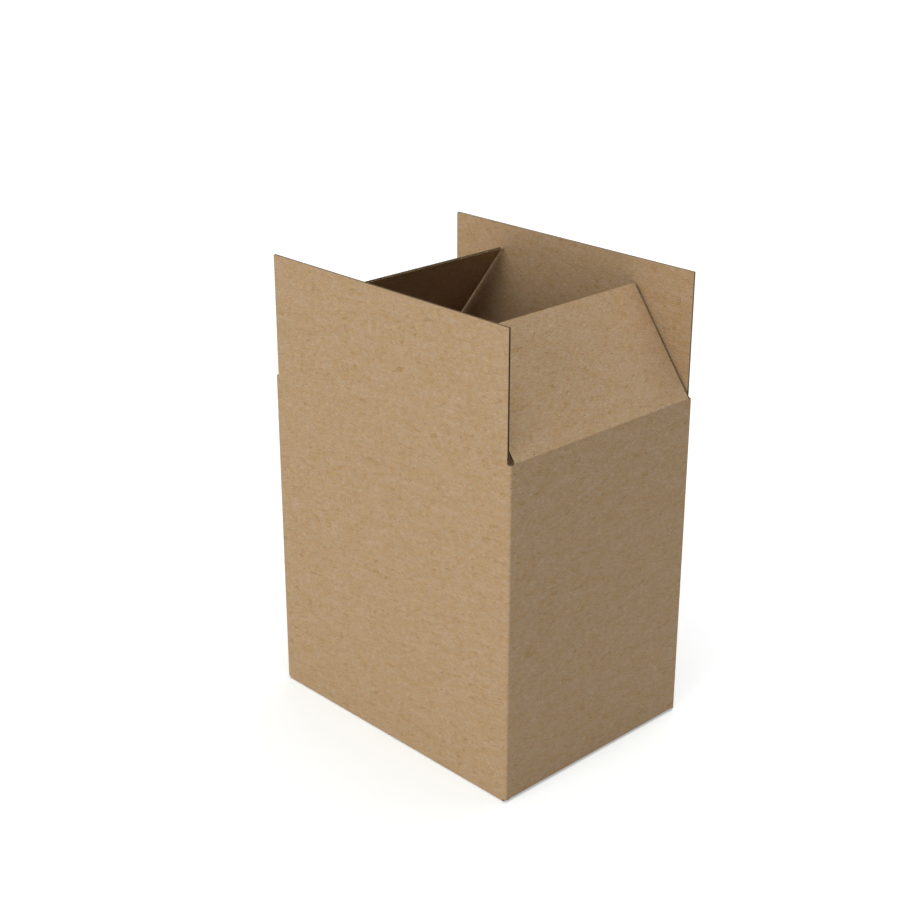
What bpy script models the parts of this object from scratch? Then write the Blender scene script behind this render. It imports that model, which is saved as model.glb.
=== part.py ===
"""Open regular slotted carton: one folded sheet of fluted board and its four top flaps.

Units are metres and +Z is up. The origin is the middle of the underside. The long panels face
-Y (front) and +Y (back), and the short panels face -X (left) and +X (right).
"""

from math import copysign, pi, radians

import bmesh
import bpy
from mathutils import Matrix, Vector

# Outside of the box, up to the crease under its top flaps
BOX_LENGTH = 0.450
BOX_WIDTH = 0.340
CREASE_HEIGHT = 0.473

# Board: two liners glued to a fluted medium
BOARD = 0.003
LINER = 0.0003
MEDIUM = 0.0003
FLUTE_PITCH = 0.00635
FLUTE_CREST = 0.0012
FLUTE_WALL = 0.0004
CRUSHED_LENGTH = 0.006

# Folds, slots and glued joint of the sheet
FOLD_INSIDE_RADIUS = 0.0002
GLUE_LINE = 0.0003
SLOT_FLAT = 0.0026
SLOT_LIFT = 0.0008
TAB_CLEARANCE = 0.0007
TAB_LENGTH = 0.035
TAB_TAPER = 0.012
SEAM_GAP = 0.001

# Top flaps
HINGE_OFFSET = 0.00015
RUNNING_GAP = 0.0003
SHORT_FLAP_LEAN = radians(36.3)

CUT_OVERRUN = 0.002
FOLD_STEPS = 6

# Sizes that follow from the ones above
FOLD_RADIUS = FOLD_INSIDE_RADIUS + BOARD
JOINT_STEP = BOARD + GLUE_LINE
LONG_SLOT = FOLD_RADIUS + SLOT_FLAT
SHORT_SLOT = FOLD_RADIUS + JOINT_STEP + TAB_CLEARANCE
LONG_STRETCH = BOX_LENGTH - 2 * LONG_SLOT
SHORT_STRETCH = BOX_WIDTH - 2 * SHORT_SLOT
FLAP_LENGTH = (BOX_WIDTH - SEAM_GAP) / 2
LONG_FOLD_HEIGHT = FOLD_RADIUS
SHORT_FOLD_HEIGHT = LONG_FOLD_HEIGHT + JOINT_STEP
SLOT_END_HEIGHT = LONG_FOLD_HEIGHT + SLOT_LIFT
CREASE_GAP = 2 * HINGE_OFFSET + RUNNING_GAP
WALL_TOP = CREASE_HEIGHT - CREASE_GAP / 2

KRAFT = (0.448, 0.304, 0.174, 1.0)
KRAFT_ROUGHNESS = 0.9
SMOOTH_ANGLE = radians(30)


def clear_scene():
    """Remove every object of the scene."""
    for obj in list(bpy.data.objects):
        bpy.data.objects.remove(obj, do_unlink=True)


def kraft_material(name):
    """Bare brown kraft liner."""
    material = bpy.data.materials.new(name)
    material.use_nodes = True
    shader = material.node_tree.nodes["Principled BSDF"]
    shader.inputs["Base Color"].default_value = KRAFT
    shader.inputs["Roughness"].default_value = KRAFT_ROUGHNESS
    shader.inputs["Metallic"].default_value = 0.0
    return material


def mesh_object(name, bm):
    """Make an object of a finished bmesh, with its faces turned outwards."""
    bmesh.ops.recalc_face_normals(bm, faces=bm.faces)
    mesh = bpy.data.meshes.new(name)
    bm.to_mesh(mesh)
    bm.free()
    obj = bpy.data.objects.new(name, mesh)
    bpy.context.scene.collection.objects.link(obj)
    return obj


def region_of(faces):
    """The faces with all their edges and corners, as the extruding operators take them."""
    edges = {edge for face in faces for edge in face.edges}
    verts = {vert for face in faces for vert in face.verts}
    return list(faces) + list(edges) + list(verts)


def extruded(bm, faces, move):
    """Extrude a region of faces, carry its end by a matrix and return the end faces."""
    grown = bmesh.ops.extrude_face_region(bm, geom=region_of(faces))["geom"]
    verts = [item for item in grown if isinstance(item, bmesh.types.BMVert)]
    bmesh.ops.transform(bm, matrix=move, verts=verts)
    return [item for item in grown if isinstance(item, bmesh.types.BMFace)]


def inner_side(heading):
    """The way from a wall's outer face to its inner face, for the way its panel runs."""
    return Matrix.Rotation(-pi / 2, 3, "Z") @ heading


class WallStrip:
    """The upright walls, grown as one strip of board from the cut edge at the glued joint."""

    def __init__(self, bm, start, heading):
        """Stand the board's cut edge up, its outer face at start."""
        self.bm = bm
        self.heading = heading
        self.floor = {"corner": [], "relief": [], "long": [], "short": [], "tab": []}
        self.crushed = []
        across = inner_side(heading) * BOARD
        low = Vector((0, 0, SHORT_FOLD_HEIGHT))
        high = Vector((0, 0, WALL_TOP))
        corners = (start + low, start + across + low, start + across + high, start + high)
        self.end = bm.faces.new([bm.verts.new(point) for point in corners])

    def grow(self, move, kind):
        """Extrude the strip's end by a matrix and keep the bottom face that this makes."""
        self.end = extruded(self.bm, [self.end], move)[0]
        edge = min(self.end.edges, key=lambda item: sum(vert.co.z for vert in item.verts))
        made = next(face for face in edge.link_faces if face is not self.end)
        self.floor[kind].append(made)

    def run(self, distance, kind):
        """Go straight on."""
        self.grow(Matrix.Translation(self.heading * distance), kind)

    def turn(self, kind):
        """Fold round the next corner."""
        inner = inner_side(self.heading)
        outside = min(self.end.verts, key=lambda vert: vert.co.dot(inner)).co
        pivot = Matrix.Translation(outside + inner * FOLD_RADIUS)
        step = pivot @ Matrix.Rotation(-pi / 2 / FOLD_STEPS, 4, "Z") @ pivot.inverted()
        for _ in range(FOLD_STEPS):
            self.grow(step, kind)
        self.heading = inner

    def mark_crushed(self):
        """Note the end's inner top corner, which the crease crushes."""
        inner = inner_side(self.heading)
        top = sorted(self.end.verts, key=lambda vert: vert.co.z)[2:]
        self.crushed.append(max(top, key=lambda vert: vert.co.dot(inner)))

    def panel(self, kind, stretch, slot_before, slot_after):
        """One wall: a slot's flat, the stretch that carries the flaps, and the next slot's flat."""
        relief = "relief" if kind == "short" else "corner"
        self.run(slot_before - RUNNING_GAP, "corner")
        self.run(RUNNING_GAP, relief)
        self.mark_crushed()
        self.run(stretch, kind)
        self.mark_crushed()
        self.run(RUNNING_GAP, relief)
        self.run(slot_after - RUNNING_GAP, "corner")

    def tab(self):
        """The glued tab inside the next wall, its ends cut back at a slant."""
        self.turn("tab")
        self.run(TAB_LENGTH, "tab")
        middle = self.end.calc_center_median().z
        for vert in self.end.verts:
            vert.co.z -= TAB_TAPER if vert.co.z > middle else -TAB_TAPER

    def crush_creases(self):
        """Bevel the inner top edge of each flap stretch to 45 degrees."""
        for vert in self.crushed:
            vert.co.z -= BOARD


def bottom_flap(bm, face, across):
    """Fold a flap in under the box from its wall's bottom face; across is 0 for X or 1 for Y."""
    inner = Vector((0, 0, 0))
    inner[across] = -copysign(1, face.calc_center_median()[across])
    outside = min((vert.co for vert in face.verts), key=lambda point: point.dot(inner))
    spun = bmesh.ops.spin(
        bm,
        geom=region_of([face]),
        cent=outside + inner * FOLD_RADIUS,
        axis=Vector((0, 0, -1)).cross(inner),
        angle=pi / 2,
        steps=FOLD_STEPS,
        use_duplicate=False,
    )["geom_last"]
    end = next(item for item in spun if isinstance(item, bmesh.types.BMFace))
    extruded(bm, [end], Matrix.Translation(inner * (FLAP_LENGTH - FOLD_RADIUS)))


def build_body():
    """The sheet's walls, glued tab and closed bottom, as one solid."""
    bm = bmesh.new()
    start = Vector((-BOX_LENGTH / 2, BOX_WIDTH / 2, 0))
    walls = WallStrip(bm, start, Vector((1, 0, 0)))
    short_flat = SHORT_SLOT - FOLD_RADIUS
    walls.panel("long", LONG_STRETCH, LONG_SLOT, SLOT_FLAT)
    walls.turn("corner")
    walls.panel("short", SHORT_STRETCH, short_flat, short_flat)
    walls.turn("corner")
    walls.panel("long", LONG_STRETCH, SLOT_FLAT, SLOT_FLAT)
    walls.turn("corner")
    walls.panel("short", SHORT_STRETCH, short_flat, TAB_CLEARANCE)
    walls.tab()
    walls.crush_creases()

    down = Matrix.Translation((0, 0, SLOT_END_HEIGHT - SHORT_FOLD_HEIGHT))
    lowered = extruded(bm, walls.floor["corner"] + walls.floor["long"], down)
    lift = Matrix.Translation((0, 0, -SLOT_LIFT))
    for face in [face for face in lowered if face.calc_area() > BOARD * LONG_STRETCH / 2]:
        bottom_flap(bm, extruded(bm, [face], lift)[0], 1)
    for face in walls.floor["short"]:
        bottom_flap(bm, face, 0)

    body = mesh_object("box_body", bm)
    body.data.shade_smooth()
    body.data.set_sharp_from_angle(angle=SMOOTH_ANGLE)
    body.data.materials.append(kraft_material("box_body_kraft"))
    return body


def flute_cutter(name, width):
    """The channels between the medium and both liners, over the flap's whole width."""
    narrow = FLUTE_CREST / 2
    wide = FLUTE_PITCH / 2 - narrow - FLUTE_WALL
    outer = HINGE_OFFSET + LINER
    inner = HINGE_OFFSET + BOARD - LINER
    step = FLUTE_PITCH / 2
    count = int((width - 2 * wide - 2 * FLUTE_WALL) / step) + 1
    low = CREASE_GAP / 2 + BOARD + CRUSHED_LENGTH
    bm = bmesh.new()
    for index in range(count):
        middle = (index - (count - 1) / 2) * step
        base, tip = (outer, inner - MEDIUM) if index % 2 else (inner, outer + MEDIUM)
        section = ((-wide, base), (wide, base), (narrow, tip), (-narrow, tip))
        bm.faces.new([bm.verts.new((middle + x, y, low)) for x, y in section])
    rise = Matrix.Translation((0, 0, FLAP_LENGTH + CUT_OVERRUN - low))
    extruded(bm, bm.faces[:], rise)
    cutter = mesh_object(name, bm)
    cutter.hide_render = True
    cutter.display_type = "WIRE"
    return cutter


def build_flap(name, stretch, hinge, heading, lean):
    """A top flap with its origin on its hinge line: local X along the crease, local Y inwards."""
    width = stretch - 2 * RUNNING_GAP
    foot = CREASE_GAP / 2
    section = (
        (HINGE_OFFSET, foot),
        (HINGE_OFFSET, FLAP_LENGTH),
        (HINGE_OFFSET + BOARD, FLAP_LENGTH),
        (HINGE_OFFSET + BOARD, foot + BOARD),
    )
    bm = bmesh.new()
    side = bm.faces.new([bm.verts.new((-width / 2, y, z)) for y, z in section])
    extruded(bm, [side], Matrix.Translation((width, 0, 0)))
    flap = mesh_object(name, bm)
    flap.location = hinge
    flap.rotation_euler = (-lean, 0, heading)
    flap.data.materials.append(kraft_material(name + "_kraft"))

    cutter = flute_cutter(name + "_flutes", width)
    cutter.parent = flap
    cut = flap.modifiers.new("flutes", "BOOLEAN")
    cut.operation = "DIFFERENCE"
    cut.solver = "EXACT"
    cut.object = cutter
    return flap


def build_top_flaps():
    """The long flaps stand upright, and the short ones lean inwards."""
    long_line = BOX_WIDTH / 2 + HINGE_OFFSET
    short_line = BOX_LENGTH / 2 + HINGE_OFFSET
    flaps = (
        ("front_flap", LONG_STRETCH, (0, -long_line), 0.0, 0.0),
        ("back_flap", LONG_STRETCH, (0, long_line), pi, 0.0),
        ("right_flap", SHORT_STRETCH, (short_line, 0), pi / 2, SHORT_FLAP_LEAN),
        ("left_flap", SHORT_STRETCH, (-short_line, 0), -pi / 2, SHORT_FLAP_LEAN),
    )
    for name, stretch, (x, y), heading, lean in flaps:
        build_flap(name, stretch, (x, y, CREASE_HEIGHT), heading, lean)


def main():
    """Build the carton."""
    clear_scene()
    build_body()
    build_top_flaps()


main()
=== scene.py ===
"""Looks of the open carton: fluted board with its liners, flutes and creases, in bare kraft.

Units are metres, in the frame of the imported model: +Z is up, the origin is the middle of the
underside, and the long panels face -Y and +Y. Every piece of board is made flat, on the blank as
it is cut, and then folded. On the blank, u runs along the panels from the free end of the back
panel, v is the height and w is the depth through the board, from its outer face inwards.
"""

from __future__ import annotations

import logging
from collections.abc import Callable, Iterable
from dataclasses import dataclass, field, replace
from enum import Enum
from math import cos, degrees, pi, radians, sin, sqrt, tan

import bmesh
import bpy
from mathutils import Matrix, Vector

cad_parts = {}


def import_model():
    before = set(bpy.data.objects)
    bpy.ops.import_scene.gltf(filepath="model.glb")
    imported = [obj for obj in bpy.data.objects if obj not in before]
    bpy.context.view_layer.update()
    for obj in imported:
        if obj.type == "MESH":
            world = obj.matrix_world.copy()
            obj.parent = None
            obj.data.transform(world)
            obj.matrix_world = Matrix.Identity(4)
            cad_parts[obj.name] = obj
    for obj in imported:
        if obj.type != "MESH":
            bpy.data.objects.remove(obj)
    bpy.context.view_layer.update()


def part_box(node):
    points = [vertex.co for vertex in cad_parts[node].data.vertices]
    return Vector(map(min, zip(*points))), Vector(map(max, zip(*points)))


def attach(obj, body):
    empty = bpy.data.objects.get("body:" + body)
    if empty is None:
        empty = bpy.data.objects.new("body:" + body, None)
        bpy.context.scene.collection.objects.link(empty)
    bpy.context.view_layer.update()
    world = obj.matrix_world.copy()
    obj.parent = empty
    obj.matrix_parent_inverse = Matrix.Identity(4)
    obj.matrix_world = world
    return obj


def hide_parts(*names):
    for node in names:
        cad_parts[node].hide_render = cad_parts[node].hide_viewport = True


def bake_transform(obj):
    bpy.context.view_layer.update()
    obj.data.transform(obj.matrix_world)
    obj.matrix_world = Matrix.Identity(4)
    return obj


LOG = logging.getLogger("carton")
BLANK_UV = "blank"
TOUCH = 1e-6
LINE_GAP = 1e-5
SHARP_ANGLE = radians(35)
INNER_SIDE_SHIFT = 3.0

Colour = tuple[float, float, float]
Span = tuple[float, float]
Socket = bpy.types.NodeSocket
WHITE: Colour = (1.0, 1.0, 1.0)


class Face(Enum):
    """The material slots of a piece of board: its paper, its cut edges and what lines the flutes."""

    LINER = 0
    CUT = 1
    HOLLOW = 2


class Side(Enum):
    """A side of the board, by the way that it faces through the board's depth."""

    OUTER = -1
    INNER = 1

    @property
    def other(self) -> Side:
        """The opposite side."""
        return Side(-self.value)


# Finishes


@dataclass(frozen=True)
class Grain:
    """The grain of a noise.

    The cell is its length and height in metres and the turn is its slant in degrees. The shift is
    where on the pattern it starts, in cells. The detail is how many finer layers it has, the
    roughness how strong each of them is, and the distortion how much the pattern is warped.
    """

    cell: Span
    turn: float = 0.0
    shift: float = 0.0
    detail: float = 2.0
    roughness: float = 0.6
    distortion: float = 0.0


class Nodes:
    """A node tree, with the few kinds of node that the looks are made of."""

    def __init__(self, tree: bpy.types.NodeTree) -> None:
        """Take a tree up."""
        self.tree = tree

    def node(self, kind: str, inputs: dict[str | int, object], **settings: object) -> bpy.types.Node:
        """Add a node, set it up and feed it.

        Args:
            kind: The node's type in Blender.
            inputs: A value or another node's output for each input, by name or number.
            settings: The node's own properties.

        Returns:
            The new node.
        """
        node = self.tree.nodes.new(kind)
        for name, value in settings.items():
            setattr(node, name, value)
        for key, value in inputs.items():
            if isinstance(value, Socket):
                self.tree.links.new(value, node.inputs[key])
            else:
                node.inputs[key].default_value = value
        return node

    def maths(self, operation: str, first: object, second: object = 0.0, third: object = 0.0) -> Socket:
        """One sum on values or outputs."""
        inputs = {0: first, 1: second, 2: third}
        return self.node("ShaderNodeMath", inputs, operation=operation).outputs[0]

    def seen(self) -> Socket:
        """1 for what the camera sees itself, in a mirror or through glass.

        Returns:
            1 or 0.
        """
        path = self.node("ShaderNodeLightPath", {}).outputs
        seen: object = 0.0
        for ray in ("Is Camera Ray", "Is Glossy Ray", "Is Transmission Ray"):
            seen = self.maths("MAXIMUM", path[ray], seen)
        return seen


class NodeSheet(Nodes):
    """A material and its node tree."""

    def __init__(self, name: str) -> None:
        """Start a material.

        Args:
            name: The material's name.
        """
        self.material = bpy.data.materials.new(name)
        self.material.use_nodes = True
        super().__init__(self.material.node_tree)
        self.shader = self.tree.nodes["Principled BSDF"]

    def blank(self) -> Socket:
        """The place on the blank, in metres."""
        return self.node("ShaderNodeUVMap", {}, uv_map=BLANK_UV).outputs["UV"]

    def placed(self, place: Socket, grain: Grain) -> Socket:
        """Stretch and turn the place, so that one unit is one cell of a pattern.

        Args:
            place: The place in metres.
            grain: The pattern's grain.

        Returns:
            The place in cells.
        """
        length, height = grain.cell
        turned = self.node(
            "ShaderNodeMapping",
            {"Vector": place, "Rotation": (0.0, 0.0, radians(grain.turn))},
            vector_type="TEXTURE",
        )
        scaled = self.node(
            "ShaderNodeMapping",
            {
                "Vector": turned.outputs["Vector"],
                "Location": (grain.shift, grain.shift, 0.0),
                "Scale": (1 / length, 1 / height, 1.0),
            },
        )
        return scaled.outputs["Vector"]

    def noise(self, place: Socket, grain: Grain) -> Socket:
        """Noise of a given grain.

        Args:
            place: The place in metres.
            grain: The noise's grain.

        Returns:
            A value around a half.
        """
        made = self.node(
            "ShaderNodeTexNoise",
            {
                "Vector": self.placed(place, grain),
                "Scale": 1.0,
                "Detail": grain.detail,
                "Roughness": grain.roughness,
                "Distortion": grain.distortion,
            },
            noise_dimensions="2D",
        )
        return made.outputs["Fac"]

    def blended(self, parts: Iterable[tuple[Socket, float]]) -> Socket:
        """Add noises up, each about its middle and by its weight.

        Args:
            parts: Each noise and its weight.

        Returns:
            A value around zero.
        """
        total: object = 0.0
        for value, weight in parts:
            centred = self.maths("SUBTRACT", value, 0.5)
            total = self.maths("MULTIPLY_ADD", centred, weight, total)
        return total

    def span(self, value: Socket, low: float, high: float, start: float = 0.0, end: float = 1.0) -> Socket:
        """Carry a value from one range to another, with its ends held."""
        inputs = {"Value": value, "From Min": low, "From Max": high, "To Min": start, "To Max": end}
        return self.node("ShaderNodeMapRange", inputs, clamp=True).outputs["Result"]

    def ramp(self, value: Socket, stops: Iterable[tuple[float, Colour]]) -> Socket:
        """Turn a value into a colour.

        Args:
            value: The value.
            stops: Each stop's value and colour.

        Returns:
            The colour.
        """
        node = self.node("ShaderNodeValToRGB", {"Fac": value})
        ramp = node.color_ramp
        for index, (at, colour) in enumerate(stops):
            stop = ramp.elements[index] if index < 2 else ramp.elements.new(at)
            stop.position = at
            stop.color = (*colour, 1.0)
        return node.outputs["Color"]

    def mixed(self, share: object, first: object, second: object, mode: str = "MIX") -> Socket:
        """Mix two colours.

        Args:
            share: How much of the second colour there is.
            first: A colour or its output.
            second: The same.
            mode: How Blender blends them.

        Returns:
            The mixed colour.
        """
        node = self.node("ShaderNodeMix", {}, data_type="RGBA", blend_type=mode, clamp_factor=True)
        sockets = [item for item in node.inputs if item.type == "RGBA"]
        for socket, value in ((node.inputs[0], share), (sockets[0], first), (sockets[1], second)):
            if isinstance(value, Socket):
                self.tree.links.new(value, socket)
            elif isinstance(value, tuple):
                socket.default_value = (*value, 1.0)
            else:
                socket.default_value = value
        return next(item for item in node.outputs if item.type == "RGBA")

    def line(self, course: Socket, width: float) -> Socket:
        """Lines where a noise passes its middle."""
        offset = self.maths("ABSOLUTE", self.maths("SUBTRACT", course, 0.5))
        return self.span(offset, 0.0, width, 1.0, 0.0)

    def feed(self, name: str, value: object) -> None:
        """Give the shader a value or an output.

        Args:
            name: The shader's input.
            value: What it is given.
        """
        if isinstance(value, Socket):
            self.tree.links.new(value, self.shader.inputs[name])
        else:
            self.shader.inputs[name].default_value = value

    def dress(
        self, colour: Socket, roughness: object, specular: float, surface: Socket, relief: float
    ) -> None:
        """Give the shader its colour, its gloss and its relief.

        Args:
            colour: The base colour.
            roughness: A value or an output.
            specular: How strongly it reflects.
            surface: The shape of its relief.
            relief: How deep the relief is, in metres.
        """
        self.feed("Base Color", colour)
        self.feed("Roughness", roughness)
        self.feed("Specular IOR Level", specular)
        bump = self.node("ShaderNodeBump", {"Height": surface, "Distance": relief, "Strength": 1.0})
        self.feed("Normal", bump.outputs["Normal"])


def tinted(colour: Colour, by: Colour) -> Colour:
    """A colour times another."""
    return tuple(one * other for one, other in zip(colour, by))


@dataclass(frozen=True)
class KraftLiner:
    """Bare brown kraft liner: felted fibres that lie mostly across the box, with ochre flecks.

    The fibres lean one way over a lean span of the blank and the other way over the next. A field
    that ends in "within" is the range of a noise over which its mark comes in. Each wisp turn is a
    slant in degrees and a shift in cells.
    """

    name: str = "kraft_liner"
    colour: Colour = (0.4460, 0.3010, 0.1800)
    light: Colour = (1.22, 1.21, 1.19)
    shade: Colour = (0.79, 0.80, 0.82)
    pink: Colour = (1.025, 0.980, 1.015)
    green: Colour = (0.975, 1.020, 0.985)
    ochre: Colour = (0.998, 0.944, 0.785)
    bleached: Colour = (1.05, 1.12, 1.28)
    bark: Colour = (0.86, 0.80, 0.66)
    speck: Colour = (0.45, 0.36, 0.28)
    specular: float = 0.25
    roughness: Span = (0.83, 0.93)
    rough_within: Span = (0.2, 0.8)
    relief: float = 0.00010
    lean: float = -0.20
    lean_span: float = 0.395

    fine: Grain = Grain((0.0018, 0.0012), turn=4.0, shift=23.9, roughness=0.9, distortion=0.3)
    crossing: Grain = Grain((0.0075, 0.0009), turn=6.0, shift=31.3, detail=1.0, roughness=0.9)
    felt: Grain = Grain(
        (0.0110, 0.0040), turn=-4.0, shift=47.1, detail=1.0, roughness=0.8, distortion=0.5
    )
    bands: Grain = Grain((0.0400, 0.0120), turn=-4.0, shift=3.1, roughness=0.7, distortion=0.3)
    tone_weights: tuple[float, ...] = (2.15, 1.60, 0.30)
    relief_weights: tuple[float, ...] = (1.0, 0.8, 0.8)

    warmth: Grain = Grain((0.0100, 0.0046), turn=8.0, shift=61.0, roughness=0.8)
    warmth_within: Span = (0.30, 0.70)

    coarse_flecks: Grain = Grain(
        (0.0112, 0.0056), turn=-5.0, shift=11.7, detail=1.5, roughness=0.7, distortion=0.4
    )
    small_flecks: Grain = Grain((0.0055, 0.0017), turn=4.0, shift=15.3, detail=1.0, roughness=0.7)
    fleck_weights: tuple[float, ...] = (1.10, 0.35, -0.60)
    flecks_within: Span = (-0.07, 0.21)

    wisp_turns: tuple[Span, ...] = ((-18.0, 71.0), (12.0, 143.0))
    wisp_course: Grain = Grain((0.0170, 0.0056), detail=1.0, roughness=0.7, distortion=0.3)
    wisp_patches: Grain = Grain((0.0100, 0.0060), detail=1.0)
    wisp_patch_shift: float = 12.0
    wisp_weights: tuple[float, ...] = (1.0, 0.4)
    wisp_width: float = 0.05
    wisps_within: Span = (0.02, 0.12)

    strand_course: Grain = Grain((0.026, 0.0090), turn=-16.0, shift=91.0, detail=1.0, roughness=0.5)
    strand_patches: Grain = Grain((0.0150, 0.0080), shift=103.0, detail=0.0)
    strand_width: float = 0.035
    strands_within: Span = (0.50, 0.62)

    speck_spots: Grain = Grain((0.0050, 0.0030), shift=97.0, detail=0.0)
    specks_within: Span = (0.90, 0.95)

    def material(self) -> bpy.types.Material:
        """Make the finish.

        Returns:
            The material.
        """
        sheet = NodeSheet(self.name)
        place, grain = sheet.blank(), self.along_fibres(sheet)
        fine, crossing = sheet.noise(grain, self.fine), sheet.noise(grain, self.crossing)
        felt, bands = sheet.noise(place, self.felt), sheet.noise(place, self.bands)
        tone = sheet.blended(zip((fine, crossing, bands), self.tone_weights))
        stops = ((0.0, self.shade), (1.0, self.light), (0.5, WHITE))
        tones = sheet.ramp(sheet.maths("ADD", tone, 0.5), stops)
        colour = sheet.mixed(1.0, self.colour, tones, "MULTIPLY")
        tint = sheet.ramp(sheet.noise(place, self.warmth), zip(self.warmth_within, (self.pink, self.green)))
        colour = sheet.mixed(1.0, colour, tint, "MULTIPLY")
        for share, by in (
            (self.flecks(sheet, place, grain, bands), self.ochre),
            (self.wisps(sheet, place, bands), self.bleached),
            (self.strands(sheet, place), self.bark),
            (self.specks(sheet, place), self.speck),
        ):
            colour = sheet.mixed(share, colour, sheet.mixed(1.0, colour, by, "MULTIPLY"))
        rough = sheet.span(fine, *self.rough_within, *self.roughness)
        surface = sheet.blended(zip((fine, crossing, felt), self.relief_weights))
        sheet.dress(colour, rough, self.specular, surface, self.relief)
        return sheet.material

    def along_fibres(self, sheet: NodeSheet) -> Socket:
        """The place along the fibres, which lean down on the long panels and up on the short ones.

        Args:
            sheet: The finish's node tree.

        Returns:
            The place in metres, with its height moved along the lean.
        """
        parts = sheet.node("ShaderNodeSeparateXYZ", {"Vector": sheet.blank()}).outputs
        zigzag = sheet.maths("PINGPONG", parts["X"], self.lean_span)
        height = sheet.maths("MULTIPLY_ADD", zigzag, self.lean, parts["Y"])
        return sheet.node("ShaderNodeCombineXYZ", {"X": parts["X"], "Y": height}).outputs["Vector"]

    def flecks(self, sheet: NodeSheet, place: Socket, grain: Socket, bands: Socket) -> Socket:
        """Ochre flecks, thicker in some bands than in others.

        Args:
            sheet: The finish's node tree.
            place: The place on the blank.
            grain: The place along the fibres.
            bands: The broad bands of the paper.

        Returns:
            The flecks' share of the colour.
        """
        coarse, small = sheet.noise(place, self.coarse_flecks), sheet.noise(grain, self.small_flecks)
        total = sheet.blended(zip((coarse, small, bands), self.fleck_weights))
        return sheet.span(total, *self.flecks_within)

    def wisps(self, sheet: NodeSheet, place: Socket, bands: Socket) -> Socket:
        """Bleached fibres: soft pale lines that follow each other, slanting two ways.

        Args:
            sheet: The finish's node tree.
            place: The place on the blank.
            bands: The broad bands of the paper.

        Returns:
            The wisps' share of the colour.
        """
        share: object = 0.0
        for turn, shift in self.wisp_turns:
            course = sheet.noise(place, replace(self.wisp_course, turn=turn, shift=shift))
            shift += self.wisp_patch_shift
            patches = sheet.noise(place, replace(self.wisp_patches, turn=turn, shift=shift))
            thick = sheet.blended(zip((patches, bands), self.wisp_weights))
            lines = sheet.line(course, self.wisp_width)
            wisp = sheet.maths("MULTIPLY", lines, sheet.span(thick, *self.wisps_within))
            share = sheet.maths("MAXIMUM", wisp, share)
        return share

    def strands(self, sheet: NodeSheet, place: Socket) -> Socket:
        """Single dark fibres: short lengths of thin curved lines.

        Args:
            sheet: The finish's node tree.
            place: The place on the blank.

        Returns:
            The strands' share of the colour.
        """
        lines = sheet.line(sheet.noise(place, self.strand_course), self.strand_width)
        patches = sheet.noise(place, self.strand_patches)
        return sheet.maths("MULTIPLY", lines, sheet.span(patches, *self.strands_within))

    def specks(self, sheet: NodeSheet, place: Socket) -> Socket:
        """Scattered specks of bark."""
        return sheet.span(sheet.noise(place, self.speck_spots), *self.specks_within)


@dataclass(frozen=True)
class RawPaper:
    """Paper without a pressed face: fibre ends at a cut, or the coarse sheet of the flutes.

    The colours that it is given below also carry painted shade and painted light.
    """

    name: str
    colour: Colour
    dark: Colour
    pulp: Grain
    dark_to_light: Span
    roughness: float = 0.95
    specular: float = 0.2
    relief: float = 0.0001

    def material(self) -> bpy.types.Material:
        """Make the finish.

        Returns:
            The material.
        """
        sheet = NodeSheet(self.name)
        pulp = sheet.noise(sheet.blank(), self.pulp)
        colours = tinted(self.colour, self.dark), self.colour
        colour = sheet.ramp(pulp, zip(self.dark_to_light, colours))
        sheet.dress(colour, self.roughness, self.specular, pulp, self.relief)
        return sheet.material


# Darker than the liner's face: partly the cut fibre ends, partly painted shade of the flute hollows that
# open along the cut edges.
CUT_EDGE_WITH_PAINTED_SHADE = RawPaper(
    name="kraft_cut_edge_painted_shade",
    colour=(0.300, 0.205, 0.120),
    dark=(0.66, 0.62, 0.56),
    pulp=Grain((0.0012, 0.0008), shift=5.0, detail=3.0, roughness=0.7),
    dark_to_light=(0.30, 0.62),
)
# Near-black: painted shade of the hollows between the flutes, on the medium and on the liners' sides that
# face it.
FLUTE_MEDIUM_PAINTED_SHADE = RawPaper(
    name="flute_medium_painted_shade",
    colour=(0.100, 0.068, 0.041),
    dark=(0.78, 0.75, 0.70),
    pulp=Grain((0.0040, 0.0025), shift=9.0, detail=3.0, roughness=0.7),
    dark_to_light=(0.30, 0.65),
)
# Lighter than the paper that it is cut from: painted light on the medium's cut ends, which brightens the
# flaps' cut tips.
MEDIUM_CUT_EDGE_PAINTED_LIGHT = replace(CUT_EDGE_WITH_PAINTED_SHADE, name="medium_cut_edge_painted_light", colour=(0.640, 0.470, 0.300))


@dataclass(frozen=True)
class Finishes:
    """The finishes that the pieces of board share.

    A liner has its face, its cut edge and the side that is glued to the flutes, which takes the
    medium's finish and its painted shade. The medium has its face, dark with painted shade of the
    flute hollows, and its cut edge, lightened with painted light.
    """

    liner: tuple[bpy.types.Material, ...]
    medium: tuple[bpy.types.Material, ...]

    @classmethod
    def made(cls) -> Finishes:
        """Make each finish once.

        Returns:
            The finishes.
        """
        face, cut = KraftLiner().material(), CUT_EDGE_WITH_PAINTED_SHADE.material()
        # The medium's dark finish, used on the liners' glued sides too, is painted shade of the flute
        # hollows; its cut edge carries painted light.
        wave, wave_cut_painted_light = FLUTE_MEDIUM_PAINTED_SHADE.material(), MEDIUM_CUT_EDGE_PAINTED_LIGHT.material()
        return cls((face, cut, wave), (wave, wave_cut_painted_light))


# The blank and how it folds


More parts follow.
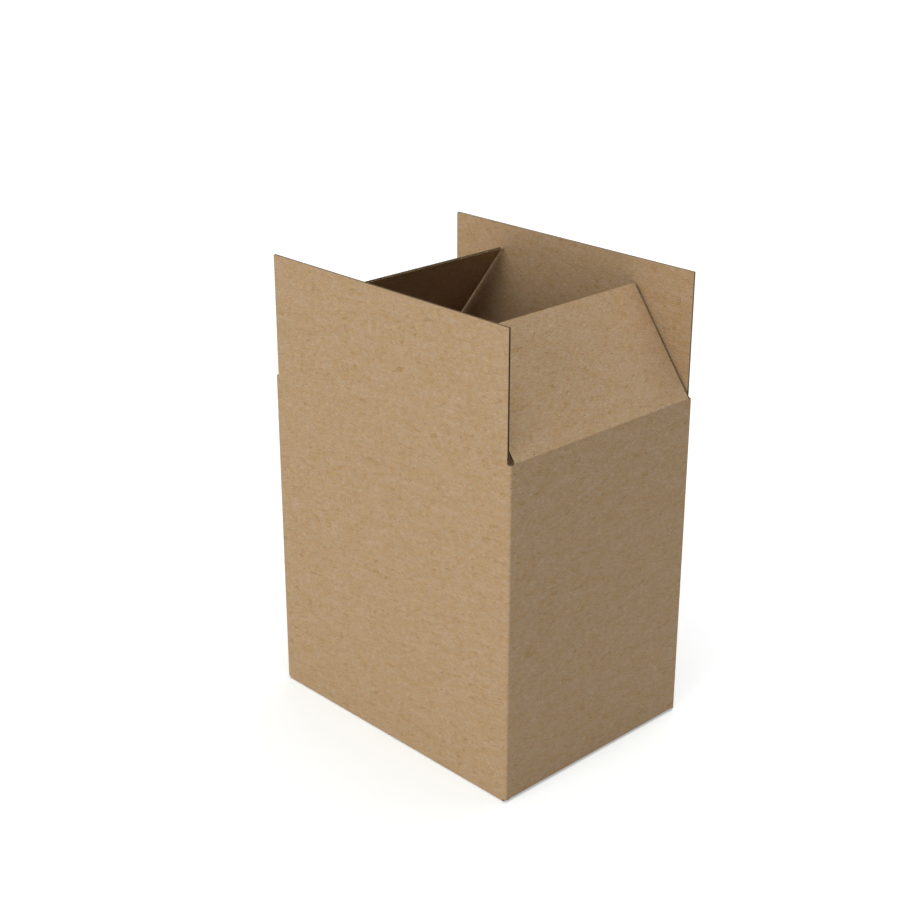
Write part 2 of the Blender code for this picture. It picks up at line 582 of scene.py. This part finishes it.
@dataclass(frozen=True)
class FlutedBoard:
    """Single-wall board: two liners glued to a wavy medium."""

    thickness: float = 0.003
    liner: float = 0.0003
    medium: float = 0.0003
    flute_pitch: float = 0.00635
    flute_steps: int = 12
    fold_radius: float = 0.0032
    fold_steps: int = 8
    fold_support: float = 0.0008

    def wave(self, along: float) -> float:
        """Depth of the medium's outer side at a place along the blank."""
        swing = (self.thickness - 2 * self.liner - self.medium) / 2
        return self.liner + swing * (1 - cos(2 * pi * along / self.flute_pitch))

    @property
    def fold_length(self) -> float:
        """What a right-angled fold takes up of the blank."""
        return self.fold_radius * pi / 2

    def fold_lines(self, start: float, way: int = 1) -> list[float]:
        """Lines across a fold, and one on either side that keeps the panels flat.

        Args:
            start: Where the fold starts on the blank.
            way: 1 where the blank runs on upwards from there, -1 where it runs down.

        Returns:
            Where the lines are.
        """
        step = self.fold_length / self.fold_steps
        bends = [start + way * step * index for index in range(self.fold_steps + 1)]
        outside = way * self.fold_support
        return [start - outside, *bends, bends[-1] + outside]


@dataclass(frozen=True)
class Panel:
    """One upright panel of the blank, and where it stands once the blank is folded."""

    name: str
    start: float
    length: float
    corner: Vector
    heading: Vector
    flap_start: float = 0.0
    flap_width: float = 0.0
    fold_height: float = 0.0

    @property
    def end(self) -> float:
        """Where its straight part ends on the blank."""
        return self.start + self.length

    @property
    def inwards(self) -> Vector:
        """The way from its outer face to its inner face."""
        return Matrix.Rotation(-pi / 2, 3, "Z") @ self.heading

    @property
    def flap_end(self) -> float:
        """Where its flaps end on the blank."""
        return self.flap_start + self.flap_width

    def carries_flap(self, along: float) -> bool:
        """Whether its flaps reach to a place along the blank."""
        return self.flap_width > 0 and self.flap_start - TOUCH < along < self.flap_end + TOUCH


@dataclass(frozen=True)
class Crease:
    """The fold of a top flap: where its hinge line is and how far the flap leans inwards."""

    height: float
    hinge_offset: float
    lean: float
    reach: float = 0.0033
    bend: float = 0.0012
    valley: float = 0.0016
    steps: int = 20

    def fold(self, rise: float, depth: float) -> tuple[float, float]:
        """Fold a place of the upright blank over the crease.

        Args:
            rise: Its height on the blank.
            depth: Its depth through the board.

        Returns:
            Its distance inwards from the panel's outer face, and its height.
        """
        if self.lean < TOUCH:
            return depth, rise
        half = self.lean / 2
        low = self.height - self.hinge_offset * tan(half) - self.bend
        high = self.height + self.hinge_offset * tan(half) + self.bend
        if rise <= low:
            return depth, rise
        if rise < high:
            angle = self.lean * (rise - low) / (high - low)
            radius = self.bend / tan(half)
            return radius - (radius - depth) * cos(angle), low + (radius - depth) * sin(angle)
        out, up = depth + self.hinge_offset, rise - self.height
        inwards = out * cos(self.lean) + up * sin(self.lean) - self.hinge_offset
        return inwards, self.height + up * cos(self.lean) - out * sin(self.lean)


@dataclass
class Blank:
    """The carton's blank: four panels and a glued tab in a row, with flaps above and below.

    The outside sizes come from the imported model. The crease, the slots and the folds are the ones
    that its sheet has. The relief is how far a slot's cut stands off the flap beside it.
    """

    low: Vector
    high: Vector
    crease_height: float
    board: FlutedBoard = field(default_factory=FlutedBoard)
    long_slot: float = 0.0058
    short_slot: float = 0.0072
    running_gap: float = 0.0003
    relief: float = 0.0003
    tab_clearance: float = 0.0007
    tab_length: float = 0.035
    tab_taper: float = 0.012
    joint_step: float = 0.0033
    slot_lift: float = 0.0008
    slot_depth: float = 0.0013
    slot_round: float = 0.0024
    seam_gap: float = 0.001
    panels: list[Panel] = field(default_factory=list)

    def __post_init__(self) -> None:
        """Lay the panels out in a row, from the free end of the back panel."""
        radius = self.board.fold_radius
        long_length, short_length = self.high.x - self.low.x, self.high.y - self.low.y
        long_flap, short_flap = long_length - 2 * self.long_slot, short_length - 2 * self.short_slot
        long_flat, short_flat = self.long_slot - radius, self.short_slot - radius
        long_fold, short_fold = radius, radius + self.joint_step
        place = Vector((self.low.x, self.high.y, 0.0))
        heading = Vector((1.0, 0.0, 0.0))
        along = 0.0
        rows = (
            ("back", self.long_slot, long_flap, long_flat, long_fold),
            ("right", short_flat, short_flap, short_flat, short_fold),
            ("front", long_flat, long_flap, long_flat, long_fold),
            ("left", short_flat, short_flap, self.tab_clearance, short_fold),
            ("tab", 0.0, 0.0, self.tab_length, short_fold),
        )
        for name, before, width, after, fold_height in rows:
            length = before + width + after
            panel = Panel(
                name, along, length, place.copy(), heading.copy(), along + before, width, fold_height
            )
            self.panels.append(panel)
            inwards = panel.inwards
            place = place + heading * (length + radius) + inwards * radius
            heading = inwards
            along = panel.end + self.board.fold_length

    def panel(self, name: str) -> Panel:
        """The panel of that name."""
        return next(item for item in self.panels if item.name == name)

    def panel_at(self, along: float) -> Panel:
        """The panel, or the fold after it, at a place along the blank."""
        reach = self.board.fold_length + TOUCH
        return next((item for item in self.panels if along < item.end + reach), self.panels[-1])

    @property
    def wall_top(self) -> float:
        """Top of the walls beside the flaps."""
        return self.high.z

    def slot_top(self, along: float) -> float:
        """Top of the sheet at a slot between the top flaps, whose bottom is rounded.

        Args:
            along: The place along the blank.

        Returns:
            The height on the blank.
        """
        carriers = [item for item in self.panels if item.flap_width]
        sides = [side for item in carriers for side in (item.flap_start, item.flap_end)]
        inside = min(abs(along - side) for side in sides) - self.relief
        share = min(max(inside / self.slot_round, 0.0), 1.0)
        return self.wall_top - self.slot_depth * sqrt(1 - (1 - share) ** 2)

    @property
    def slot_end(self) -> float:
        """Where the slots between the bottom flaps end."""
        return self.board.fold_radius + self.slot_lift

    @property
    def flap_length(self) -> float:
        """Length of every flap: half of the box's width."""
        return (self.high.y - self.low.y - self.seam_gap) / 2

    def flap_tip(self, panel: Panel) -> float:
        """Where a panel's bottom flap ends on the blank."""
        flat = self.flap_length - self.board.fold_radius
        return panel.fold_height - self.board.fold_length - flat

    def stand(self, along: float, inwards: float, rise: float) -> Vector:
        """Where a place of the row of panels stands, once the corners are folded.

        Args:
            along: The place along the blank.
            inwards: Its distance inwards from the panel's outer face.
            rise: Its height.

        Returns:
            The place in the frame.
        """
        panel = self.panel_at(along)
        flat = min(along, panel.end) - panel.start
        point = panel.corner + panel.heading * flat + panel.inwards * inwards
        if along > panel.end:
            radius = self.board.fold_radius
            pivot = panel.corner + panel.heading * panel.length + panel.inwards * radius
            turn = Matrix.Rotation(-(along - panel.end) / radius, 3, "Z")
            point = pivot + turn @ (point - pivot)
        return Vector((point.x, point.y, rise))

    def fold(self, place: Vector) -> Vector:
        """Fold a place of the flat blank into the box: its bottom flap first, then its corner.

        Args:
            place: The place on the blank, with its depth through the board.

        Returns:
            The place in the frame.
        """
        along, rise, depth = place
        panel = self.panel_at(along)
        past = panel.fold_height - rise
        if past > 0 and panel.carries_flap(along):
            radius = self.board.fold_radius
            angle = min(past / radius, pi / 2)
            left = radius - depth
            depth = radius - left * cos(angle) + max(0.0, past - self.board.fold_length)
            rise = panel.fold_height - left * sin(angle)
        return self.stand(along, depth, rise)

    def on_sheet(self, along: float, rise: float) -> bool:
        """Whether the sheet's walls and bottom flaps cover a place of the blank.

        Args:
            along: The place along the blank.
            rise: Its height.

        Returns:
            True where there is board.
        """
        panel = self.panel_at(along)
        if panel.carries_flap(along):
            return self.flap_tip(panel) < rise < self.crease_height - Crease.reach
        if panel.name == "tab" or (panel.name == "left" and along > panel.end):
            return panel.fold_height < rise < self.wall_top
        near_flap = panel.carries_flap(along - self.relief) or panel.carries_flap(along + self.relief)
        if near_flap and panel.fold_height > self.slot_end:
            return panel.fold_height < rise < self.wall_top
        return self.slot_end < rise < self.wall_top

    def taper(self, along: float, rise: float) -> float:
        """Where a height of the sheet comes to on the tab, whose ends are cut at a slant.

        Args:
            along: The place along the blank.
            rise: The height on an upright panel.

        Returns:
            The height there.
        """
        tab = self.panels[-1]
        if along <= tab.start:
            return rise
        cut = self.tab_taper * (along - tab.start) / tab.length
        share = (rise - tab.fold_height) / (self.wall_top - tab.fold_height)
        return rise + cut * (1 - 2 * share)


# Flat pieces of board


def flat_sheet(columns: list[float], rows: list[float]) -> bmesh.types.BMesh:
    """A flat sheet with its lines where they are asked for.

    Args:
        columns: Where its upright lines are, along the blank.
        rows: Where its level lines are.

    Returns:
        The sheet, at no depth.
    """
    bm = bmesh.new()
    across, up = len(columns) - 1, len(rows) - 1
    bmesh.ops.create_grid(bm, x_segments=across, y_segments=up, size=0.5)
    for vert in bm.verts:
        column, row = round((vert.co.x + 0.5) * across), round((vert.co.y + 0.5) * up)
        vert.co = (columns[column], rows[row], 0.0)
    return bm


def trim(bm: bmesh.types.BMesh, keep: Callable[[float, float], bool]) -> None:
    """Cut away the faces whose middle isn't to be kept.

    Args:
        bm: The sheet.
        keep: Whether there is board at a place along the blank and a height.
    """
    middles = {item: item.calc_center_median() for item in bm.faces}
    waste = [item for item, middle in middles.items() if not keep(middle.x, middle.y)]
    bmesh.ops.delete(bm, geom=waste, context="FACES")


def thicken(bm: bmesh.types.BMesh, depth: float) -> list[bmesh.types.BMVert]:
    """Give a sheet its thickness, inwards.

    Args:
        bm: The sheet.
        depth: Its thickness.

    Returns:
        The corners of its inner side.
    """
    grown = bmesh.ops.extrude_face_region(bm, geom=bm.faces[:])["geom"]
    verts = [item for item in grown if isinstance(item, bmesh.types.BMVert)]
    bmesh.ops.translate(bm, vec=(0.0, 0.0, depth), verts=verts)
    return verts


def mark_faces(bm: bmesh.types.BMesh, hollow: Side | None = None) -> None:
    """Note each face's place on the blank, and which faces are cut edges or line the flutes.

    The inner side is taken from further along the same paper, so it doesn't repeat the outer one.

    Args:
        bm: A finished flat piece.
        hollow: The side that faces the flutes, if one does.
    """
    bm.normal_update()
    bmesh.ops.recalc_face_normals(bm, faces=bm.faces)
    layer = bm.loops.layers.uv.new(BLANK_UV)
    for face in bm.faces:
        across, up, through = (abs(value) for value in face.normal)
        cut = through < max(across, up)
        lines_flutes = not cut and hollow is not None and hollow.value * face.normal.z > 0
        kind = Face.CUT if cut else Face.HOLLOW if lines_flutes else Face.LINER
        face.material_index = kind.value
        face.smooth = True
        shift = 0.0 if cut or face.normal.z < 0 else INNER_SIDE_SHIFT
        for loop in face.loops:
            along, rise, depth = loop.vert.co
            if cut and across >= up:
                along += depth
            elif cut:
                rise += depth
            loop[layer].uv = (along + shift, rise)


def board_object(
    name: str,
    bm: bmesh.types.BMesh,
    fold: Callable[[Vector], Vector],
    materials: Iterable[bpy.types.Material],
) -> bpy.types.Object:
    """Fold a flat piece and make it an object.

    Args:
        name: The piece's name.
        bm: The flat piece, with its faces marked.
        fold: Where each place of the blank goes.
        materials: What its material slots hold, in their order.

    Returns:
        The object, with its place in its mesh.
    """
    for vert in bm.verts:
        vert.co = fold(vert.co.copy())
    bm.normal_update()
    bmesh.ops.recalc_face_normals(bm, faces=bm.faces)
    mesh = bpy.data.meshes.new(name)
    bm.to_mesh(mesh)
    bm.free()
    mesh.set_sharp_from_angle(angle=SHARP_ANGLE)
    for material in materials:
        mesh.materials.append(material)
    piece = bpy.data.objects.new(name, mesh)
    bpy.context.scene.collection.objects.link(piece)
    LOG.info("%s: %d faces", name, len(mesh.polygons))
    return piece


def liner_piece(bm: bmesh.types.BMesh, board: FlutedBoard, side: Side) -> bmesh.types.BMesh:
    """Make a flat sheet one of the board's liners, at its depth.

    Args:
        bm: The flat sheet.
        board: The board that the liner is of.
        side: Which of its liners it is.

    Returns:
        The liner, with its faces marked.
    """
    if side is Side.INNER:
        bmesh.ops.translate(bm, vec=(0.0, 0.0, board.thickness - board.liner), verts=bm.verts)
    thicken(bm, board.liner)
    mark_faces(bm, side.other)
    return bm


def level(foot: float, head: float) -> Callable[[float], Span]:
    """Ends of the medium that are cut straight, at the same heights all along."""
    return lambda _: (foot, head)


def wavy_piece(
    board: FlutedBoard, start: float, end: float, ends: Callable[[float], Span]
) -> bmesh.types.BMesh:
    """A stretch of the medium.

    Args:
        board: The board that it is in.
        start: Where it starts along the blank.
        end: Where it ends.
        ends: Heights of its lower and upper end, at each place along the blank.

    Returns:
        The medium, with its faces marked.
    """
    count = round((end - start) / board.flute_pitch * board.flute_steps)
    columns = [start + (end - start) * index / count for index in range(count + 1)]
    bm = flat_sheet(columns, [0.0, 1.0])
    for vert in bm.verts:
        foot, head = ends(vert.co.x)
        vert.co = (vert.co.x, head if vert.co.y > 0.5 else foot, board.wave(vert.co.x))
    thicken(bm, board.medium)
    mark_faces(bm)
    return bm


def joined(parts: Iterable[bmesh.types.BMesh]) -> bmesh.types.BMesh:
    """Put several flat pieces in one.

    Args:
        parts: The pieces, which are used up.

    Returns:
        The one piece.
    """
    whole = bmesh.new()
    whole.loops.layers.uv.new(BLANK_UV)
    for part in parts:
        mesh = bpy.data.meshes.new("part")
        part.to_mesh(mesh)
        part.free()
        whole.from_mesh(mesh)
        bpy.data.meshes.remove(mesh)
    return whole


# Sub-assemblies


@dataclass
class BoardPart:
    """A part of the sheet: an outer and an inner liner and the medium between them."""

    blank: Blank
    finishes: Finishes

    def lay(self, name: str, body: str, node: str) -> None:
        """Make the liners and the medium and set them on a body.

        Args:
            name: What the pieces' names start with.
            body: The body that they move with.
            node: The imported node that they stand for.
        """
        liner, medium = self.finishes.liner, self.finishes.medium
        outer = board_object(f"{name}_outer_liner", self.liner(Side.OUTER), self.fold, liner)
        inner = board_object(f"{name}_inner_liner", self.liner(Side.INNER), self.fold, liner)
        waves = board_object(f"{name}_medium", self.medium(), self.fold, medium)
        for piece in (outer, inner, waves):
            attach(piece, body)
        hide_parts(node)


@dataclass
class BoxSheet(BoardPart):
    """The folded sheet without its top flaps: walls, glued tab and closed bottom."""

    slot_steps: tuple[float, ...] = (0.0, 0.0002, 0.0006, 0.0013)
    medium_step: float = 0.0006
    medium_start: float = 0.012

    def columns(self) -> list[float]:
        """The upright lines of the sheet: panel ends, slots and folds.

        Returns:
            Where they are along the blank, in order.
        """
        board, lines = self.blank.board, []
        for panel in self.blank.panels:
            lines += [panel.start, panel.end]
            if panel.flap_width:
                lines += [panel.flap_start, panel.flap_end, *board.fold_lines(panel.end)]
                for step in self.slot_steps:
                    away = self.blank.relief + step
                    lines += [panel.flap_start - away, panel.flap_end + away]
        return tidy_lines(lines)

    def rows(self) -> list[float]:
        """The level lines of the sheet: flap tips, folds, slot ends and tops.

        Returns:
            Their heights on the blank, in order.
        """
        blank, lines = self.blank, []
        for panel in blank.panels[:2]:
            lines += [blank.flap_tip(panel), *blank.board.fold_lines(panel.fold_height, -1)]
        lines += [blank.slot_end, blank.crease_height - Crease.reach, blank.wall_top]
        return tidy_lines(lines)

    def fold(self, place: Vector) -> Vector:
        """Fold a place of the flat blank into the box."""
        return self.blank.fold(place)

    def liner(self, side: Side) -> bmesh.types.BMesh:
        """One of the two liners, flat.

        Args:
            side: Which of them it is.

        Returns:
            The liner, with its faces marked.
        """
        bm = flat_sheet(self.columns(), self.rows())
        trim(bm, self.blank.on_sheet)
        for vert in bm.verts:
            if vert.co.y > self.blank.wall_top - TOUCH:
                vert.co.y = self.blank.slot_top(vert.co.x)
            vert.co.y = self.blank.taper(vert.co.x, vert.co.y)
        return liner_piece(bm, self.blank.board, side)

    def medium_ends(self, along: float) -> Span:
        """Ends of the walls' medium: clear of fold and crease, or at the cuts where a slot is near.

        Args:
            along: The place along the blank.

        Returns:
            The heights of its lower and its upper end on the blank.
        """
        blank = self.blank
        steps = (along - self.medium_step, along, along + self.medium_step)
        if all(blank.panel_at(item).carries_flap(item) for item in steps):
            return self.medium_start, blank.crease_height - self.medium_start
        panel = blank.panel_at(along)
        cut = blank.slot_end if panel.flap_width else panel.fold_height
        return blank.taper(along, cut), blank.taper(along, blank.slot_top(along))

    def medium(self) -> bmesh.types.BMesh:
        """The medium of the walls and of each bottom flap.

        Returns:
            The medium, with its faces marked.
        """
        blank, board = self.blank, self.blank.board
        parts = [wavy_piece(board, 0.0, blank.panels[-1].end, self.medium_ends)]
        for panel in blank.panels:
            if panel.flap_width:
                top = panel.fold_height - board.fold_length - self.medium_start
                ends = level(blank.flap_tip(panel), top)
                parts.append(wavy_piece(board, panel.flap_start, panel.flap_end, ends))
        return joined(parts)

    def build(self) -> None:
        """Make the pieces and set them on the box."""
        self.lay("box", "box", "box_body")


def tidy_lines(lines: Iterable[float]) -> list[float]:
    """Sort lines and leave out those that fall on another.

    Args:
        lines: Where the lines are.

    Returns:
        Where those that are kept are, in order.
    """
    kept: list[float] = []
    for line in sorted(lines):
        if not kept or line - kept[-1] > LINE_GAP:
            kept.append(line)
    return kept


@dataclass
class TopFlap(BoardPart):
    """A top flap: two liners, the medium between them, and the crease that joins it to its wall."""

    side: str
    crease: Crease
    crushed: float = 0.006

    @property
    def panel(self) -> Panel:
        """The panel that the flap is on."""
        return self.blank.panel(self.side)

    @property
    def sides(self) -> tuple[float, float]:
        """Where its cut sides are on the blank."""
        gap = self.blank.running_gap
        return self.panel.flap_start + gap, self.panel.flap_end - gap

    @property
    def tip(self) -> float:
        """Where its free edge is on the blank."""
        return self.crease.height + self.blank.flap_length

    def fold(self, place: Vector) -> Vector:
        """Fold a place of the flat blank over the crease and the corners."""
        inwards, rise = self.crease.fold(place.y, place.z)
        return self.blank.stand(place.x, inwards, rise)

    def liner(self, side: Side) -> bmesh.types.BMesh:
        """One of the two liners, flat.

        Args:
            side: Which of them it is.

        Returns:
            The liner, with its faces marked.
        """
        foot = self.crease.height + self.crease.reach
        bm = flat_sheet(list(self.sides), [foot, self.tip])
        return liner_piece(bm, self.blank.board, side)

    def medium(self) -> bmesh.types.BMesh:
        """The medium, from where the crease crushes it to the free edge."""
        foot = self.crease.height + self.crease.reach + self.crushed
        return wavy_piece(self.blank.board, *self.sides, level(foot, self.tip))

    def crushed_board(self) -> bmesh.types.BMesh:
        """The strip of board that the crease crushes into a shallow valley on the inside.

        Returns:
            The strip, with its faces marked.
        """
        crease, wall_top = self.crease, self.blank.wall_top
        low, high = crease.height - crease.reach, crease.height + crease.reach
        rows = [low + (high - low) * index / crease.steps for index in range(crease.steps + 1)]
        bm = flat_sheet(list(self.sides), rows)
        for vert in bm.verts:
            if vert.co.y < wall_top:
                vert.co.x += self.blank.running_gap * (1 if vert.co.x > sum(self.sides) / 2 else -1)
        for vert in thicken(bm, self.blank.board.thickness):
            share = (vert.co.y - crease.height) / crease.reach
            vert.co.z -= crease.valley * (1 + cos(pi * share)) / 2
        mark_faces(bm)
        return bm

    def blend_ends(self) -> tuple[Vector, Vector]:
        """The two ends of the crease, on the box and on the flap, each moved a little towards the other.

        Returns:
            The place on the box and the place on the flap.
        """
        crease, middle = self.crease, sum(self.sides) / 2
        low = self.fold(Vector((middle, crease.height - crease.reach, 0.0)))
        high = self.fold(Vector((middle, crease.height + crease.reach, 0.0)))
        inset = (high - low).normalized() * self.blank.board.thickness * sin(crease.lean / 2)
        return low + inset, high - inset

    def build(self) -> None:
        """Make the pieces and hang them on the flap, and make the crease between the box and it, folded to
        the flap's lean.
        """
        name = f"{self.side}_flap"
        self.lay(name, self.side, name)
        strip = self.crushed_board()
        crease = board_object(f"{self.side}_crease", strip, self.fold, self.finishes.liner)
        start, end = self.blend_ends()
        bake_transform(crease)
        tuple(start)
        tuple(end)


@dataclass
class Carton:
    """The whole carton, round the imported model's box."""

    crease_height: float = 0.473
    hinge_offset: float = 0.00015
    short_lean: float = radians(36.3)

    def build(self) -> None:
        """Build the box and hang its four top flaps on it."""
        low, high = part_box("box_body")
        blank = Blank(low, high, self.crease_height)
        finishes = Finishes.made()
        BoxSheet(blank, finishes).build()
        leans = {"front": 0.0, "back": 0.0, "right": self.short_lean, "left": self.short_lean}
        for side, lean in leans.items():
            crease = Crease(self.crease_height, self.hinge_offset, lean)
            TopFlap(blank, finishes, side, crease).build()
            LOG.info("%s flap leans %.1f degrees", side, degrees(lean))


# The room, the light and the camera


@dataclass(frozen=True)
class Lamp:
    """A far, wide lamp: where it hangs round the box and how soft and strong it is."""

    name: str
    azimuth: float
    elevation: float
    spread: float
    energy: float
    colour: Colour = (1.0, 1.0, 1.0)

    def build(self) -> None:
        """Hang the lamp up."""
        data = bpy.data.lights.new(self.name, "SUN")
        data.energy = self.energy
        data.angle = radians(self.spread)
        data.color = self.colour
        lamp = bpy.data.objects.new(self.name, data)
        lamp.rotation_euler = (radians(90 - self.elevation), 0.0, radians(self.azimuth))
        bpy.context.scene.collection.objects.link(lamp)


@dataclass
class Studio:
    """A plain pale floor under a soft even light, most of it from above and from the front."""

    floor_size: float = 60.0
    floor_colour: Colour = (0.735, 0.755, 0.765)
    floor_lift: float = 0.36
    covered: tuple[float, float] = (0.212, 0.157)
    cover_edge: float = 0.003
    sky: float = 0.05
    lamps: tuple[Lamp, ...] = (
        Lamp("front", 0.0, 15.0, 40.0, 1.64, (0.990, 1.0, 0.965)),
        Lamp("overhead", 0.0, 89.0, 60.0, 1.28, (1.0, 0.96, 0.95)),
        Lamp("over_back", 180.0, 68.0, 36.0, 0.63),
        Lamp("over_front_right", 45.0, 68.0, 36.0, 0.80, (0.94, 1.0, 0.96)),
        Lamp("right", 90.0, 30.0, 36.0, 0.12, (0.50, 0.88, 1.0)),
        Lamp("back_left", -135.0, 15.0, 40.0, 0.30),
    )

    def world(self) -> None:
        """Light from all round, and white for the camera."""
        world = bpy.data.worlds.new("studio")
        bpy.context.scene.world = world
        world.use_nodes = True
        nodes = Nodes(world.node_tree)
        light = nodes.tree.nodes["Background"]
        light.inputs["Color"].default_value = (*WHITE, 1.0)
        light.inputs["Strength"].default_value = self.sky
        white = nodes.node("ShaderNodeBackground", {"Color": (*WHITE, 1.0), "Strength": 1.0})
        shares = {0: nodes.seen(), 1: light.outputs[0], 2: white.outputs[0]}
        mix = nodes.node("ShaderNodeMixShader", shares)
        nodes.tree.links.new(mix.outputs[0], nodes.tree.nodes["World Output"].inputs["Surface"])

    def open_floor(self, sheet: NodeSheet) -> Socket:
        """0 on the floor that the box covers and 1 round it.

        Args:
            sheet: The floor's node tree.

        Returns:
            The value, with a short slope between the two.
        """
        place = sheet.node("ShaderNodeTexCoord", {}).outputs["Object"]
        parts = sheet.node("ShaderNodeSeparateXYZ", {"Vector": place}).outputs
        clear: object = 0.0
        for part, half in zip((parts["X"], parts["Y"]), self.covered):
            outside = sheet.span(sheet.maths("ABSOLUTE", part), half - self.cover_edge, half)
            clear = sheet.maths("MAXIMUM", outside, clear)
        return clear

    def floor(self) -> None:
        """The floor, which keeps the box's shadow and is lifted to white for the camera."""
        bm = bmesh.new()
        bmesh.ops.create_grid(bm, x_segments=1, y_segments=1, size=self.floor_size / 2)
        mesh = bpy.data.meshes.new("floor")
        bm.to_mesh(mesh)
        bm.free()
        floor = bpy.data.objects.new("floor", mesh)
        bpy.context.scene.collection.objects.link(floor)
        sheet = NodeSheet("floor_paper")
        sheet.feed("Base Color", (*self.floor_colour, 1.0))
        sheet.feed("Roughness", 1.0)
        sheet.feed("Specular IOR Level", 0.0)
        sheet.feed("Emission Color", (*WHITE, 1.0))
        lift = sheet.maths("MULTIPLY", sheet.seen(), self.floor_lift)
        sheet.feed("Emission Strength", sheet.maths("MULTIPLY", lift, self.open_floor(sheet)))
        mesh.materials.append(sheet.material)

    def build(self) -> None:
        """Set the room up."""
        self.world()
        self.floor()
        for lamp in self.lamps:
            lamp.build()
        LOG.info("studio ready with %d lamps", len(self.lamps))


@dataclass
class Camera:
    """The photograph's viewpoint, fitted to the box's edges."""

    place: tuple[float, float, float] = (1.4944964, -1.4759664, 1.2304734)
    azimuth: float = 46.4537
    elevation: float = 22.058
    focal_pixels: float = 1663.9876
    image_pixels: float = 900.0
    sensor: float = 36.0

    def build(self) -> None:
        """Set the camera up and make it the scene's."""
        data = bpy.data.cameras.new("camera")
        data.sensor_width = self.sensor
        data.lens = self.focal_pixels * self.sensor / self.image_pixels
        camera = bpy.data.objects.new("camera", data)
        camera.location = self.place
        camera.rotation_euler = (radians(90 - self.elevation), 0.0, radians(self.azimuth))
        bpy.context.scene.collection.objects.link(camera)
        bpy.context.scene.camera = camera


def main() -> None:
    """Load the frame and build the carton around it."""
    logging.basicConfig(level=logging.INFO, format="%(message)s")
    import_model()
    scene = bpy.context.scene
    scene.view_settings.view_transform = "Standard"
    Camera().build()
    Studio().build()
    Carton().build()


if __name__ == "__main__":
    main()
